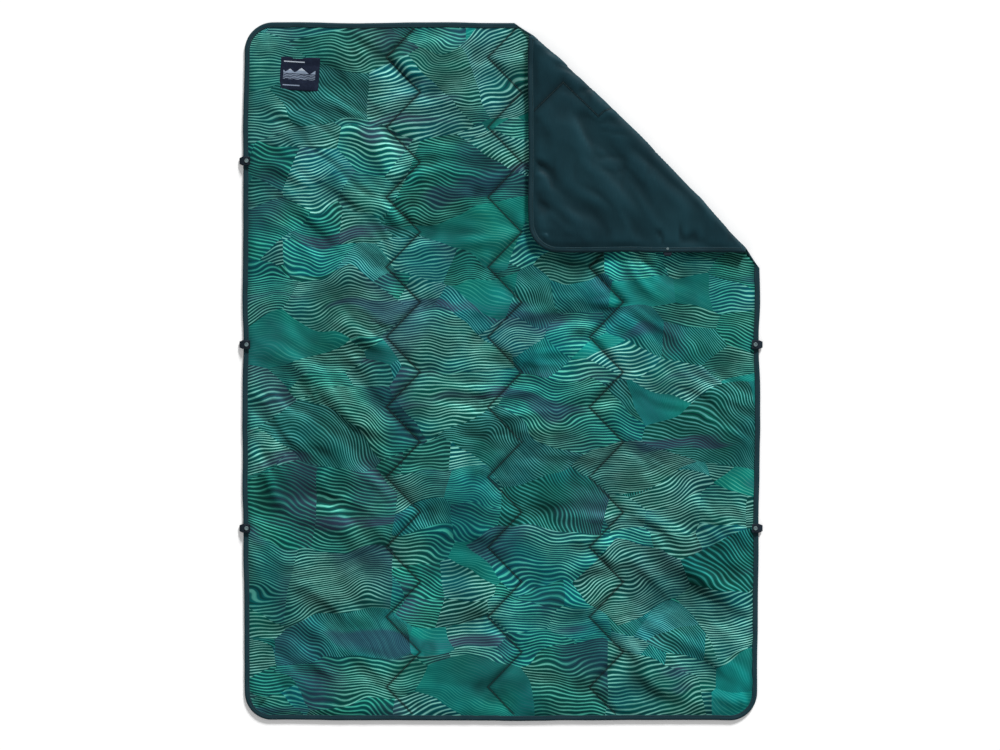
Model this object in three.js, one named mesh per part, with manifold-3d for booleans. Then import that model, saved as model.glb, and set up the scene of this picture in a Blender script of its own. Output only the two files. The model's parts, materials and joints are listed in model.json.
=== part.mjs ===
// Quilted camp blanket with press-stud loops, one corner folded over.
// Millimetres, +Z up. X runs across the width and Y along the length.
// Most pieces are drawn lying flat, face up; the corner group then folds its own over.
import * as THREE from 'three';
import { mergeVertices } from 'three/addons/utils/BufferGeometryUtils.js';
import Module from 'manifold-3d';

const wasm = await Module();
wasm.setup();

// ---- Driving dimensions ----
const WIDTH = 1370;
const LENGTH = 1855;
const CORNER_RADIUS = 75;
const GAP = 0.3; // between pieces that touch

// Layers
const FABRIC = 0.8; // shell fabric
const LOFT = 13; // the whole quilt, away from its edges
const LOFT_START = 26; // the quilt stays thin this far in from its edge
const LOFT_RUN = 34; // and reaches its full loft over this distance

// Binding tape around the edge
const BINDING_WIDTH = 14;
const BINDING_HEIGHT = 6;
const BINDING_TAPE = 0.8;
const BINDING_LIFT = 1.2; // the edge curls up off the ground by this much

// The folded corner
const FOLD_LEG = 650; // corner to crease, along either edge
const FOLD_ALLOWANCE = 54; // cloth taken up by the roll
const FOLD_GAP = 7; // air between the corner and the quilt under it
const ROLL_DEPTH = 25; // how far the roll swells past the crease, at its middle
const ROLL_DEPTH_END = 9; // and at its ends

// Quilting
const STITCH_ROWS = 3;
const STITCH_FROM_LEFT = 425; // left edge to the middle of the first row
const STITCH_FROM_RIGHT = 405; // right edge to the middle of the last row
const STITCH_SWING = 90; // across one zigzag
const STITCH_PERIOD = 186;
const STITCH_PHASE = 92; // top edge to the first left-hand turn
const THREAD = 0.6;

// Label
const LABEL_WIDTH = 106;
const LABEL_HEIGHT = 90;
const LABEL_FROM_LEFT = 96;
const LABEL_FROM_TOP = 91;
const LABEL_TILT = 3.5; // degrees

// Press-stud loops
const LOOP_FROM_TOP = 368; // top edge to the first loop
const LOOP_PITCH = 488;
const LOOPS_PER_SIDE = 3;
const LOOP_REACH = 10; // past the edge
const LOOP_WIDTH = 24;
const LOOP_TIP_WIDTH = 16;
const LOOP_TAPE = 1.2;
const LOOP_END_MARGIN = 4.2; // tape left beyond the cap

// Press stud
const CAP_RADIUS = 5.5;
const CAP_HEIGHT = 1.5;
const STUD_FLANGE_RADIUS = 4.5;
const STUD_FLANGE = 0.7;
const KNOB_RADIUS = 2;
const KNOB_NECK_RADIUS = 1.6;
const KNOB_HEIGHT = 1.8;
const SOCKET_RADIUS = 4.2;
const SOCKET_HEIGHT = 2.6;
const SOCKET_ROOF = 0.8;
const STEM_RADIUS = 1.2;
const RIVET_FLANGE_RADIUS = 3.6;
const RIVET_FLANGE = 0.6;

// ---- Worked out from them ----
const HALF_W = WIDTH / 2;
const HALF_L = LENGTH / 2;
const FULL_LOFT_AT = LOFT_START + LOFT_RUN;
const TOTAL_HEIGHT = 2 * LOFT + FOLD_GAP;
const HINGE_Z = TOTAL_HEIGHT / 2;
const CREASE_SUM = HALF_W + HALF_L - FOLD_LEG; // x + y on the crease
const CORNER_SUM = CREASE_SUM + FOLD_ALLOWANCE * Math.SQRT2; // where the corner panel starts
const CREASE_START = new THREE.Vector2(CREASE_SUM - HALF_L, HALF_L);
const CREASE_LENGTH = FOLD_LEG * Math.SQRT2;
const ALONG = new THREE.Vector2(1, -1).normalize();
const OUTWARD = new THREE.Vector2(1, 1).normalize();
const HINGE_POINT = CREASE_START.clone().addScaledVector(OUTWARD, FOLD_ALLOWANCE / 2);

const BINDING_LOW = BINDING_LIFT;
const BINDING_TOP = BINDING_LIFT + BINDING_HEIGHT;
const BACK_EDGE_LOW = BINDING_LOW + BINDING_TAPE + GAP;
const FACE_EDGE_TOP = BINDING_TOP - BINDING_TAPE - GAP;
const PILE_LOW = BACK_EDGE_LOW + FABRIC + GAP; // insulation in the binding
const PILE_TOP = FACE_EDGE_TOP - FABRIC - GAP;
const EDGE_INSET = BINDING_TAPE + 2 * GAP;
const BACK_FLAT_AT = BINDING_WIDTH + 10; // where the back fabric meets the ground
const SNAP_INSET = BINDING_WIDTH - STUD_FLANGE_RADIUS - GAP;

// A layer's underside and top, at distances in from the edge.
const BACK = [
  { d: EDGE_INSET, low: BACK_EDGE_LOW, high: BACK_EDGE_LOW + FABRIC },
  { d: BINDING_WIDTH + 2 * GAP, low: BACK_EDGE_LOW, high: BACK_EDGE_LOW + FABRIC },
  { d: BACK_FLAT_AT, low: 0, high: FABRIC },
];
const PILE = [
  { d: EDGE_INSET, low: PILE_LOW, high: PILE_TOP },
  { d: BINDING_WIDTH + 2 * GAP, low: PILE_LOW, high: PILE_TOP },
  { d: BACK_FLAT_AT, low: FABRIC + GAP, high: PILE_TOP },
  { d: LOFT_START, low: FABRIC + GAP, high: PILE_TOP },
  { d: FULL_LOFT_AT, low: FABRIC + GAP, high: LOFT - FABRIC - GAP },
];
const FACE = [
  { d: EDGE_INSET, low: FACE_EDGE_TOP - FABRIC, high: FACE_EDGE_TOP },
  { d: LOFT_START, low: FACE_EDGE_TOP - FABRIC, high: FACE_EDGE_TOP },
  { d: FULL_LOFT_AT, low: LOFT - FABRIC, high: LOFT },
];
// The binding's U-shaped section: distance in from the edge, and height.
const BINDING = [
  [0, BINDING_LOW + BINDING_TAPE],
  [BINDING_TAPE, BINDING_LOW],
  [BINDING_WIDTH, BINDING_LOW],
  [BINDING_WIDTH, BINDING_LOW + BINDING_TAPE],
  [BINDING_TAPE, BINDING_LOW + BINDING_TAPE],
  [BINDING_TAPE, BINDING_TOP - BINDING_TAPE],
  [BINDING_WIDTH, BINDING_TOP - BINDING_TAPE],
  [BINDING_WIDTH, BINDING_TOP],
  [BINDING_TAPE, BINDING_TOP],
  [0, BINDING_TOP - BINDING_TAPE],
];

// ---- Materials ----
const cloth = (color, roughness = 0.85) =>
  new THREE.MeshStandardMaterial({ color, roughness, metalness: 0 });
const PRINT = cloth(0x1f7264);
const PLAIN = cloth(0x1c3b43);
const TAPE = cloth(0x182733, 0.9);
const FILL = cloth(0xe8e6e0, 1);
const LABEL = cloth(0x1a2746);
const NYLON = new THREE.MeshStandardMaterial({ color: 0x5f7578, roughness: 0.45, metalness: 0 });

// ---- Mesh helpers ----
function geometryFrom(points, triangles) {
  const geometry = new THREE.BufferGeometry();
  geometry.setAttribute('position', new THREE.Float32BufferAttribute(points.flat(), 3));
  geometry.setIndex(triangles.flat());
  return facingOut(geometry);
}

// Turns the faces round if they enclose a negative volume.
function facingOut(geometry) {
  const p = geometry.attributes.position;
  const index = geometry.index.array;
  const corner = [0, 1, 2].map(() => new THREE.Vector3());
  let volume = 0;
  for (let i = 0; i < index.length; i += 3) {
    corner.forEach((v, k) => v.fromBufferAttribute(p, index[i + k]));
    volume += corner[0].dot(corner[1].clone().cross(corner[2]));
  }
  if (volume < 0) {
    for (let i = 0; i < index.length; i += 3) {
      [index[i + 1], index[i + 2]] = [index[i + 2], index[i + 1]];
    }
  }
  return geometry;
}

const quad = (a, b, c, d) => [[a, b, c], [a, c, d]];

function arc(cx, cy, radius, from, to, steps = 6) {
  return Array.from({ length: steps + 1 }, (_, i) => {
    const angle = THREE.MathUtils.degToRad(from + ((to - from) * i) / steps);
    return [cx + radius * Math.cos(angle), cy + radius * Math.sin(angle)];
  });
}

// Joins loops of equal length. The second half of each loop runs back the way
// the first half came, so its faces are split the other way: layers that lie
// on each other then bend at the same places.
function loft(loops) {
  const n = loops[0].length;
  const triangles = [];
  for (let i = 0; i + 1 < loops.length; i += 1) {
    for (let k = 0; k < n; k += 1) {
      const next = (k + 1) % n;
      const [a, b, c, d] = [i * n + k, i * n + next, (i + 1) * n + next, (i + 1) * n + k];
      triangles.push(...(k < n / 2 ? quad(a, b, c, d) : quad(b, c, d, a)));
    }
  }
  return { n, points: loops.flat(), triangles };
}

// Covers a loop drawn by this 2-D section, with triangles that run round as it does.
function flatCap(section) {
  const contour = section.map(([x, y]) => new THREE.Vector2(x, y));
  const clockwise = THREE.ShapeUtils.isClockWise(contour);
  return THREE.ShapeUtils.triangulateShape(contour, [])
    .map(([a, b, c]) => (clockwise ? [a, c, b] : [a, b, c]));
}

// Covers a loop of n points that runs out along one line and back along another.
function stripCap(n) {
  return Array.from({ length: n / 2 - 1 }, (_, k) => quad(k, k + 1, n - 2 - k, n - 1 - k)).flat();
}

function cappedLoft(loops, cap) {
  const { n, points, triangles } = loft(loops);
  const last = (loops.length - 1) * n;
  for (const [a, b, c] of cap) {
    triangles.push([a, c, b], [last + a, last + b, last + c]);
  }
  return geometryFrom(points, triangles);
}

function toManifold(geometry) {
  const bare = geometry.clone();
  bare.deleteAttribute('normal');
  bare.deleteAttribute('uv');
  const merged = mergeVertices(bare, 1e-4);
  return new wasm.Manifold(new wasm.Mesh({
    numProp: 3,
    vertProperties: new Float32Array(merged.attributes.position.array),
    triVerts: new Uint32Array(merged.index.array),
  }));
}

function fromManifold(solid) {
  const mesh = solid.getMesh();
  const geometry = new THREE.BufferGeometry();
  geometry.setAttribute('position', new THREE.BufferAttribute(mesh.vertProperties, 3));
  geometry.setIndex(new THREE.BufferAttribute(mesh.triVerts, 1));
  return geometry;
}

// Drills upright holes of one radius through a piece.
function drilled(geometry, centres, radius) {
  let solid = toManifold(geometry);
  for (const [x, y] of centres) {
    const pin = new THREE.CylinderGeometry(radius, radius, 4 * LOFT, 12);
    pin.rotateX(Math.PI / 2);
    pin.translate(x, y, 0);
    solid = solid.subtract(toManifold(pin));
  }
  return fromManifold(solid);
}

// ---- Outlines, at a distance in from the blanket's edge, counter-clockwise ----
function mainOutline(d) {
  const cx = HALF_W - CORNER_RADIUS;
  const cy = HALF_L - CORNER_RADIUS;
  const r = CORNER_RADIUS - d;
  return [
    [CREASE_SUM - (HALF_L - d), HALF_L - d],
    ...arc(-cx, cy, r, 90, 180),
    ...arc(-cx, -cy, r, 180, 270),
    ...arc(cx, -cy, r, 270, 360),
    [HALF_W - d, CREASE_SUM - (HALF_W - d)],
  ];
}

function cornerOutline(d) {
  return [
    [HALF_W - d, CORNER_SUM - (HALF_W - d)],
    ...arc(HALF_W - CORNER_RADIUS, HALF_L - CORNER_RADIUS, CORNER_RADIUS - d, 0, 90),
    [CORNER_SUM - (HALF_L - d), HALF_L - d],
  ];
}

// One layer of a panel: its underside and top rise and fall with the distance
// from the edge, and its last side is the straight cut along the fold.
function layer(stations, outline) {
  const points = [];
  const triangles = [];
  const rings = stations.map(({ d }) => outline(d));
  const n = rings[0].length;
  rings.forEach((ring, i) => {
    for (const height of [stations[i].low, stations[i].high]) {
      ring.forEach(([x, y]) => points.push([x, y, height]));
    }
  });
  const low = (i, k) => i * 2 * n + k;
  const high = (i, k) => i * 2 * n + n + k;
  for (let k = 0; k + 1 < n; k += 1) {
    triangles.push(...quad(low(0, k), low(0, k + 1), high(0, k + 1), high(0, k)));
    for (let i = 0; i + 1 < rings.length; i += 1) {
      triangles.push(...quad(high(i, k), high(i, k + 1), high(i + 1, k + 1), high(i + 1, k)));
      triangles.push(...quad(low(i, k + 1), low(i, k), low(i + 1, k), low(i + 1, k + 1)));
    }
  }
  const last = rings.length - 1;
  for (let i = 0; i < last; i += 1) {
    const end = n - 1;
    triangles.push(...quad(low(i, end), low(i + 1, end), high(i + 1, end), high(i, end)));
    triangles.push(...quad(low(i + 1, 0), low(i, 0), high(i, 0), high(i + 1, 0)));
  }
  triangles.push(...quad(low(last, n - 1), low(last, 0), high(last, 0), high(last, n - 1)));
  const inner = rings[last].map(([x, y]) => new THREE.Vector2(x, y));
  for (const [a, b, c] of THREE.ShapeUtils.triangulateShape(inner, [])) {
    triangles.push([high(last, a), high(last, b), high(last, c)]);
    triangles.push([low(last, a), low(last, c), low(last, b)]);
  }
  return geometryFrom(points, triangles);
}

function binding(outline) {
  const rings = BINDING.map(([d]) => outline(d));
  const loops = rings[0].map((_, k) =>
    BINDING.map(([, z], j) => [rings[j][k][0], rings[j][k][1], z]));
  return cappedLoft(loops, flatCap(BINDING));
}

// ---- The roll of cloth at the fold ----
const ROLL_STEPS = 12;
const ROLL_EASE = 0.15; // taken off both sides of each layer, which twists as it rolls
const ROLL_SPANS = 8; // between the ends, where the loft is full

function rollDepth(t) {
  const share = Math.sin((Math.PI * t) / CREASE_LENGTH) ** 0.8;
  return ROLL_DEPTH_END + (ROLL_DEPTH - ROLL_DEPTH_END) * share;
}

// The blanket's edges cross the roll at 45 degrees, so cloth that enters it near
// an end of the crease comes out nearer the middle: 1 at the start, -1 at the far end.
function drift(start) {
  const full = FULL_LOFT_AT * Math.SQRT2;
  const middle = CREASE_LENGTH / 2;
  return THREE.MathUtils.clamp((middle - start) / (middle - full), -1, 1);
}

// A point of the quilt at flat height z that enters the roll at start along the
// crease, turned by angle round the roll.
function rollPoint(start, z, angle) {
  const t = start + FOLD_ALLOWANCE * (angle / Math.PI) * drift(start);
  const out = GAP + (rollDepth(t) - z) * Math.sin(angle);
  const at = CREASE_START.clone().addScaledVector(ALONG, t).addScaledVector(OUTWARD, out);
  return [at.x, at.y, HINGE_Z - (HINGE_Z - z) * Math.cos(angle)];
}

const rollAngles = Array.from({ length: ROLL_STEPS + 1 }, (_, i) => (Math.PI * i) / ROLL_STEPS);

// A layer's underside or top at any distance in from the edge.
function heightAt(stations, d, key) {
  const after = stations.findIndex((s) => s.d > d);
  if (after < 0) return stations.at(-1)[key];
  const [a, b] = [stations[after - 1], stations[after]];
  return THREE.MathUtils.lerp(a[key], b[key], (d - a.d) / (b.d - a.d));
}

// Where the roll's sections stand along the crease: all its layers share them.
// They stop at the binding, which rolls over with nothing drawn inside it.
function rollStations() {
  const changes = [BINDING_WIDTH + 2 * GAP, BACK_FLAT_AT, LOFT_START, FULL_LOFT_AT];
  const start = changes.map((d) => d * Math.SQRT2);
  const full = start.at(-1);
  const span = (CREASE_LENGTH - 2 * full) / ROLL_SPANS;
  const middle = Array.from({ length: ROLL_SPANS - 1 }, (_, i) => full + (i + 1) * span);
  return [...start, ...middle, ...start.toReversed().map((t) => CREASE_LENGTH - t)];
}

function rollLayer(stations) {
  const loops = rollStations().map((t) => {
    const d = Math.min(t, CREASE_LENGTH - t) / Math.SQRT2;
    const low = heightAt(stations, d, 'low') + ROLL_EASE;
    const high = heightAt(stations, d, 'high') - ROLL_EASE;
    return [
      ...rollAngles.map((angle) => rollPoint(t, low, angle)),
      ...rollAngles.toReversed().map((angle) => rollPoint(t, high, angle)),
    ];
  });
  return cappedLoft(loops, stripCap(2 * rollAngles.length));
}

function rollBinding(atStart) {
  const loops = rollAngles.map((angle) =>
    BINDING.map(([d, z]) => {
      const t = d * Math.SQRT2;
      return rollPoint(atStart ? t : CREASE_LENGTH - t, z, angle);
    }));
  return cappedLoft(loops, flatCap(BINDING));
}

// ---- Quilting thread ----
// A row's zigzag from binding to binding, with a point at each turn and
// wherever the loft under it changes.
function stitchRow(centreX) {
  const end = HALF_L - BINDING_WIDTH - 2 * GAP;
  const across = (y) => {
    const cycle = (HALF_L - STITCH_PHASE - y) / STITCH_PERIOD;
    const share = cycle - Math.floor(cycle);
    return centreX + STITCH_SWING * (Math.abs(2 * ((share + 0.5) % 1) - 1) - 0.5);
  };
  const changes = [end, HALF_L - LOFT_START, HALF_L - FULL_LOFT_AT];
  const heights = [...changes, ...changes.map((y) => -y)];
  const firstTurn = HALF_L - STITCH_PHASE + STITCH_PERIOD;
  for (let y = firstTurn; y > -end; y -= STITCH_PERIOD / 2) {
    if (y < end) heights.push(y);
  }
  return heights.toSorted((a, b) => b - a).map((y) => [across(y), y]);
}

// Keeps the stretch of a path where x + y lies between two limits.
function clipped(path, least, most) {
  const kept = [];
  path.forEach((b, i) => {
    const inside = (p) => p[0] + p[1] >= least && p[0] + p[1] <= most;
    const a = path[i - 1];
    if (a && inside(a) !== inside(b)) {
      const [sa, sb] = [a[0] + a[1], b[0] + b[1]];
      const limit = Math.min(sa, sb) < least ? least : most;
      const share = (limit - sa) / (sb - sa);
      kept.push([a[0] + (b[0] - a[0]) * share, a[1] + (b[1] - a[1]) * share]);
    }
    if (inside(b)) kept.push(b);
  });
  return kept;
}

function thread(path) {
  const half = THREAD / 2;
  const loops = path.map(([x, y]) => {
    const d = Math.min(HALF_W - Math.abs(x), HALF_L - Math.abs(y));
    const low = heightAt(FACE, d, 'high') + GAP;
    return [
      [x - half, y, low],
      [x + half, y, low],
      [x + half, y, low + THREAD],
      [x - half, y, low + THREAD],
    ];
  });
  return cappedLoft(loops, stripCap(4));
}

// ---- Press studs and their loops, drawn at an edge with +X pointing out of it ----
const STUD_LOW = BINDING_TOP + GAP;
const KNOB_TOP = STUD_LOW + STUD_FLANGE + KNOB_HEIGHT;
const SOCKET_LOW = STUD_LOW + STUD_FLANGE + GAP;
const SOCKET_TOP = SOCKET_LOW + SOCKET_HEIGHT;
const TAPE_LOW = SOCKET_TOP + GAP;
const CAP_LOW = TAPE_LOW + LOOP_TAPE + GAP;
const LOOP_BASE_LOW = BINDING_LOW + BINDING_TAPE;
const LOOP_BASE_TOP = LOOP_BASE_LOW + LOOP_TAPE;
const LOOP_FOLD_LOW = LOOP_BASE_TOP + GAP;
const TAPE_END = -(SNAP_INSET + CAP_RADIUS + LOOP_END_MARGIN);
const ROUND = 16;

function turned(profile) {
  const geometry = new THREE.LatheGeometry(profile.map(([r, z]) => new THREE.Vector2(r, z)), ROUND);
  geometry.rotateX(Math.PI / 2);
  geometry.deleteAttribute('normal');
  geometry.deleteAttribute('uv');
  const merged = mergeVertices(geometry, 1e-4);
  // The points on the axis leave triangles with two equal corners.
  const index = [...merged.index.array];
  const kept = [];
  for (let i = 0; i < index.length; i += 3) {
    const [a, b, c] = index.slice(i, i + 3);
    if (a !== b && b !== c && a !== c) kept.push(a, b, c);
  }
  merged.setIndex(kept);
  return facingOut(merged);
}

const stud = () => turned([
  [0, STUD_LOW],
  [STUD_FLANGE_RADIUS, STUD_LOW],
  [STUD_FLANGE_RADIUS, STUD_LOW + STUD_FLANGE],
  [KNOB_NECK_RADIUS, STUD_LOW + STUD_FLANGE],
  [KNOB_NECK_RADIUS, STUD_LOW + STUD_FLANGE + KNOB_HEIGHT / 3],
  [KNOB_RADIUS, STUD_LOW + STUD_FLANGE + (2 * KNOB_HEIGHT) / 3],
  [KNOB_NECK_RADIUS, KNOB_TOP],
  [0, KNOB_TOP],
]);

const rivet = () => turned([
  [0, BINDING_LOW - GAP - RIVET_FLANGE],
  [RIVET_FLANGE_RADIUS, BINDING_LOW - GAP - RIVET_FLANGE],
  [RIVET_FLANGE_RADIUS, BINDING_LOW - GAP],
  [STEM_RADIUS, BINDING_LOW - GAP],
  [STEM_RADIUS, BINDING_TOP],
  [0, BINDING_TOP],
]);

const socket = () => turned([
  [KNOB_RADIUS + GAP, SOCKET_LOW],
  [SOCKET_RADIUS, SOCKET_LOW],
  [SOCKET_RADIUS, SOCKET_TOP],
  [STEM_RADIUS + GAP, SOCKET_TOP],
  [STEM_RADIUS + GAP, SOCKET_TOP - SOCKET_ROOF],
  [KNOB_RADIUS + GAP, SOCKET_TOP - SOCKET_ROOF],
  [KNOB_RADIUS + GAP, SOCKET_LOW],
]);

const cap = () => turned([
  [0, SOCKET_TOP - SOCKET_ROOF + GAP],
  [STEM_RADIUS, SOCKET_TOP - SOCKET_ROOF + GAP],
  [STEM_RADIUS, CAP_LOW],
  [CAP_RADIUS, CAP_LOW],
  [CAP_RADIUS, CAP_LOW + CAP_HEIGHT / 2],
  [CAP_RADIUS - CAP_HEIGHT / 2, CAP_LOW + CAP_HEIGHT],
  [0, CAP_LOW + CAP_HEIGHT],
]);

// A strip of tape with the given side view, narrowing towards the loop's tip.
function tape(profile) {
  const halfWidth = (u) => {
    const share = THREE.MathUtils.clamp(u / LOOP_REACH, 0, 1);
    return THREE.MathUtils.lerp(LOOP_WIDTH, LOOP_TIP_WIDTH, share) / 2;
  };
  const side = (sign) => profile.map(([u, z]) => [u, sign * halfWidth(u), z]);
  return cappedLoft([side(-1), side(1)], flatCap(profile));
}

const loopBase = () => tape([
  [GAP, LOOP_BASE_LOW],
  [LOOP_REACH, LOOP_BASE_LOW],
  [LOOP_REACH, LOOP_BASE_TOP],
  [GAP, LOOP_BASE_TOP],
]);

const loopFlap = () => drilled(tape([
  [LOOP_REACH, LOOP_FOLD_LOW],
  [LOOP_REACH, LOOP_FOLD_LOW + LOOP_TAPE],
  [0, TAPE_LOW + LOOP_TAPE],
  [TAPE_END, TAPE_LOW + LOOP_TAPE],
  [TAPE_END, TAPE_LOW],
  [-LOOP_TAPE, TAPE_LOW],
  [2 * GAP, BINDING_TOP + GAP],
  [LOOP_REACH - LOOP_TAPE, LOOP_FOLD_LOW],
]), [[-SNAP_INSET, 0]], STEM_RADIUS + GAP);

// ---- Assembly ----
const blanket = new THREE.Group();
const corner = new THREE.Group(); // drawn flat, then turned over about the hinge line
const cornerHinge = new THREE.Group();
cornerHinge.position.set(HINGE_POINT.x, HINGE_POINT.y, HINGE_Z);
cornerHinge.quaternion.setFromAxisAngle(new THREE.Vector3(ALONG.x, ALONG.y, 0), Math.PI);
corner.position.set(-HINGE_POINT.x, -HINGE_POINT.y, -HINGE_Z);
cornerHinge.add(corner);
blanket.add(cornerHinge);

function addPiece(parent, name, geometry, material) {
  const mesh = new THREE.Mesh(geometry, material);
  mesh.name = name;
  parent.add(mesh);
  return mesh;
}

const LOOP_NAMES = ['top', 'middle', 'bottom'];
const loops = [-1, 1].flatMap((side) =>
  Array.from({ length: LOOPS_PER_SIDE }, (_, i) => {
    const y = HALF_L - LOOP_FROM_TOP - i * LOOP_PITCH;
    const onCorner = side * HALF_W + y > CORNER_SUM;
    const name = onCorner ? 'corner' : `${side < 0 ? 'left' : 'right'}_${LOOP_NAMES[i]}`;
    return { name, side, y, onCorner };
  }));
const rivetHoles = (onCorner) =>
  loops
    .filter((at) => at.onCorner === onCorner)
    .map(({ side, y }) => [side * (HALF_W - SNAP_INSET), y]);

function addPanel(parent, prefix, outline, holes) {
  const bored = (geometry) => drilled(geometry, holes, STEM_RADIUS + GAP);
  addPiece(parent, `${prefix}back_fabric`, bored(layer(BACK, outline)), PLAIN);
  addPiece(parent, `${prefix}insulation`, bored(layer(PILE, outline)), FILL);
  addPiece(parent, `${prefix}face_fabric`, bored(layer(FACE, outline)), PRINT);
  addPiece(parent, `${prefix}binding`, bored(binding(outline)), TAPE);
}

function addFold() {
  addPiece(blanket, 'fold_back_fabric', rollLayer(BACK), PLAIN);
  addPiece(blanket, 'fold_insulation', rollLayer(PILE), FILL);
  addPiece(blanket, 'fold_face_fabric', rollLayer(FACE), PRINT);
  addPiece(blanket, 'fold_binding_top', rollBinding(true), TAPE);
  addPiece(blanket, 'fold_binding_side', rollBinding(false), TAPE);
}

function addQuilting() {
  const names = ['left', 'middle', 'right'];
  for (let i = 0; i < STITCH_ROWS; i += 1) {
    const share = i / (STITCH_ROWS - 1);
    const path = stitchRow(THREE.MathUtils.lerp(
      -HALF_W + STITCH_FROM_LEFT, HALF_W - STITCH_FROM_RIGHT, share,
    ));
    const onMain = clipped(path, -Infinity, CREASE_SUM - THREAD);
    const onCorner = clipped(path, CORNER_SUM + THREAD, Infinity);
    addPiece(blanket, `quilt_thread_${names[i]}`, thread(onMain), TAPE);
    if (onCorner.length > 1) {
      addPiece(corner, `corner_quilt_thread_${names[i]}`, thread(onCorner), TAPE);
    }
  }
}

function addLabel() {
  const label = addPiece(blanket, 'label', new THREE.BoxGeometry(LABEL_WIDTH, LABEL_HEIGHT, FABRIC), LABEL);
  label.position.set(
    -HALF_W + LABEL_FROM_LEFT + LABEL_WIDTH / 2,
    HALF_L - LABEL_FROM_TOP - LABEL_HEIGHT / 2,
    LOFT + GAP + FABRIC / 2,
  );
  label.rotation.z = THREE.MathUtils.degToRad(LABEL_TILT);
}

function addLoop({ name, side, y, onCorner }) {
  const edge = new THREE.Group();
  edge.position.set(side * HALF_W, y, 0);
  edge.rotation.z = side < 0 ? Math.PI : 0;
  (onCorner ? corner : blanket).add(edge);
  addPiece(edge, `loop_base_${name}`, loopBase(), TAPE);
  addPiece(edge, `loop_flap_${name}`, loopFlap(), TAPE);
  const snap = { stud, rivet, socket, cap };
  for (const [piece, make] of Object.entries(snap)) {
    addPiece(edge, `snap_${piece}_${name}`, make(), NYLON).position.x = -SNAP_INSET;
  }
}

addPanel(blanket, '', mainOutline, rivetHoles(false));
addPanel(corner, 'corner_', cornerOutline, rivetHoles(true));
addFold();
addQuilting();
addLabel();
loops.forEach(addLoop);

export default blanket;
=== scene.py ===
"""A quilted camp blanket lying flat with one corner folded over, built round its CAD frame."""

import json
import math

import bpy
import numpy as np
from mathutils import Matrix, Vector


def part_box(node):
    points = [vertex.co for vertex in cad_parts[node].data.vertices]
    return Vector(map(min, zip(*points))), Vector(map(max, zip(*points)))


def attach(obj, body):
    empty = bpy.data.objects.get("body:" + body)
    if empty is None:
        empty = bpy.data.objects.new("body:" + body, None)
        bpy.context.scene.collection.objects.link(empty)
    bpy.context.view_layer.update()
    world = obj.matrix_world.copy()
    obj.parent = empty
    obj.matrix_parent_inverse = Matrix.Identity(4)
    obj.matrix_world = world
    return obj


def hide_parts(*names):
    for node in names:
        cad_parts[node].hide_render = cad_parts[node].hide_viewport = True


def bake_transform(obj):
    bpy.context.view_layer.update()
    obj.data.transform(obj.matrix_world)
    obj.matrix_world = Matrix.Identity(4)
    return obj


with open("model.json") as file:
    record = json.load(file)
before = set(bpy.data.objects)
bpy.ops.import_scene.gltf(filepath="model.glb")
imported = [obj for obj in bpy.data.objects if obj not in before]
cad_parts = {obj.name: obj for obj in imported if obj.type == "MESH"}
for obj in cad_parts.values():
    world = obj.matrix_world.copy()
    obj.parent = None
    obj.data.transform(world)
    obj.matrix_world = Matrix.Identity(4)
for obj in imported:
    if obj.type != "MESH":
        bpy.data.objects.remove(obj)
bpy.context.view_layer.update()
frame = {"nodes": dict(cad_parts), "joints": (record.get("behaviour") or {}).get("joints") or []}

MM = 0.001
ROOT2 = math.sqrt(2)

# ---- Sizes taken from the frame ----
EDGE_LOW, EDGE_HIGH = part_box("binding")
HALF_W, HALF_L = -EDGE_LOW.x, -EDGE_LOW.y
BINDING_LOW, BINDING_TOP = EDGE_LOW.z, EDGE_HIGH.z
JOINTS = {j["name"]: j for j in frame["joints"]}
LOOPS = [name.removeprefix("snap_loop_") for name in JOINTS if name.startswith("snap_loop_")]
HINGE = JOINTS["corner_fold"]["pos_m"]
HINGE_SUM = HINGE[0] + HINGE[1]
HINGE_Z = HINGE[2]
FLAP_LOW, FLAP_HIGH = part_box("corner_binding")
CREASE_SUM = FLAP_LOW.x + FLAP_HIGH.y  # x + y on the crease
ALLOWANCE = (HINGE_SUM - CREASE_SUM) * ROOT2  # cloth taken up by the roll
CREASE_X = CREASE_SUM - HALF_L  # where the crease meets the top edge
CREASE_LENGTH = (HALF_W - CREASE_X) * ROOT2
CORNER_RADIUS = 75 * MM
BINDING_WIDTH = 14 * MM
ROLL_DEPTH, ROLL_DEPTH_END = 25 * MM, 9 * MM
FULL_LEAN = 85 * MM  # from each end of the crease the cloth leans fully

# ---- Quilting: zigzag rows across the blanket ----
ROWS = {"left": -260 * MM, "middle": 10 * MM, "right": 280 * MM}
SWING = 90 * MM
HALF_PERIOD = 93 * MM
FIRST_TURN = HALF_L - 92 * MM  # height of the first left-hand turn
ACROSS_ROW = 0.72  # distance across a slanting row, for each unit of level distance
LOFT = 13 * MM
SEAM_FACE = 3.2 * MM  # fabric height at a seam
EDGE_FACE = 5.7 * MM  # and inside the binding
BACK_DEPTH = 5.4 * MM  # height of the middle that the back bellies down from
BACK_BULGE = 3.5 * MM  # how far the back stands past flat on the turned-over corner
FACE_HIGHEST = 17 * MM
LEAST_CLOTH = 1.2 * MM  # between the face and the back
QUILT_INSET = 3 * MM  # the layers end this far inside the binding's edge
GRID_STEPS = 12  # between two turns of the quilting

# ---- Small pieces ----
LABEL_WIDTH, LABEL_HEIGHT, LABEL_TILT = 106 * MM, 90 * MM, math.radians(3.5)
SNAP_INSET = 9.2 * MM  # of the press studs from the blanket's edge
TAPE_HALF_THICKNESS = 0.6 * MM
TAPE_HALF_WIDTH, TAPE_HALF_TIP = 12 * MM, 8 * MM
QUILT_STITCH = {"spacing": 4.6 * MM, "length": 3.9 * MM, "radius": 0.42 * MM}
BINDING_STITCH = {"spacing": 4.4 * MM, "length": 3.5 * MM, "radius": 0.4 * MM}


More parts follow.
